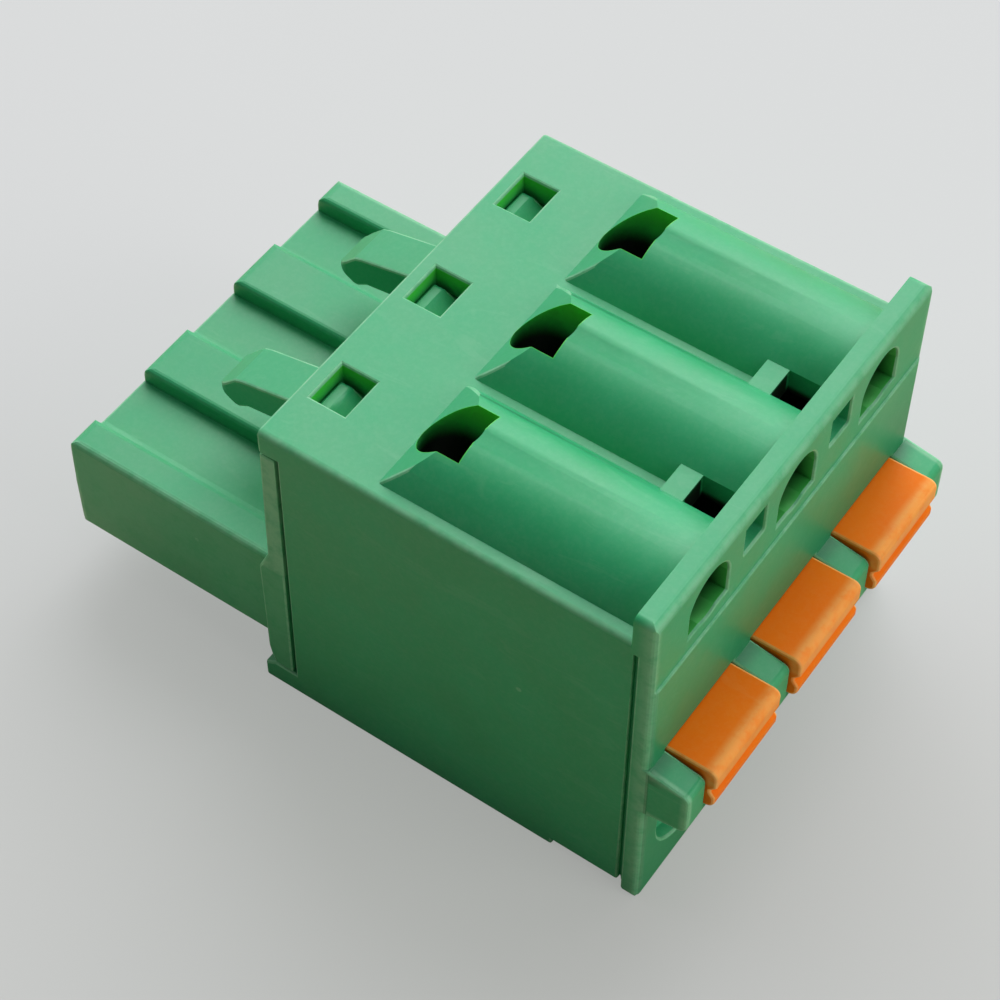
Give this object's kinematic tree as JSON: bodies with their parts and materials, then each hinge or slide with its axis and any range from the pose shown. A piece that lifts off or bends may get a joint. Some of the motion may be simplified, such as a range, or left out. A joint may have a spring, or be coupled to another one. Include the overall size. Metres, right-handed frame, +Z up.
{
  "type": "pluggable terminal block",
  "caption": "Green pluggable terminal block with orange push-in release buttons, barrel-shaped poles on top and a plug nose with hooks.",
  "frame": {"origin": "centre of the footprint, on the surface that the plug lies on", "axes": "+X from the plug nose to the wire face, +Y across the poles, +Z up"},
  "size_m": [0.0262, 0.0162, 0.0158],
  "materials": {
    "green_plastic": "satin moulded",
    "orange_plastic": "satin moulded",
    "tinned_contact": "tin plated",
    "spring_steel": "rolled strip"
  },
  "bodies": {
    "plug": {"housing": "green_plastic", "contact_carrier": "green_plastic", "contact_1": "tinned_contact", "contact_2": "tinned_contact", "contact_3": "tinned_contact", "overspring_1": "spring_steel", "overspring_2": "spring_steel", "overspring_3": "spring_steel", "clamp_spring_1": "spring_steel", "clamp_spring_2": "spring_steel", "clamp_spring_3": "spring_steel"},
    "push_button_1": {"button_1": "orange_plastic"},
    "push_button_2": {"button_2": "orange_plastic"},
    "push_button_3": {"button_3": "orange_plastic"}
  },
  "joints": [
    {"name": "press_1", "type": "slide", "parent": "plug", "child": "push_button_1", "axis": [-1, 0, 0], "range_m": [0, 0.0014], "stiffness_N_per_m": 800, "springref_m": -0.001, "deforming": ["clamp_spring_1"]},
    {"name": "press_2", "type": "slide", "parent": "plug", "child": "push_button_2", "axis": [-1, 0, 0], "range_m": [0, 0.0014], "stiffness_N_per_m": 800, "springref_m": -0.001, "deforming": ["clamp_spring_2"]},
    {"name": "press_3", "type": "slide", "parent": "plug", "child": "push_button_3", "axis": [-1, 0, 0], "range_m": [0, 0.0014], "stiffness_N_per_m": 800, "springref_m": -0.001, "deforming": ["clamp_spring_3"]}
  ]
}
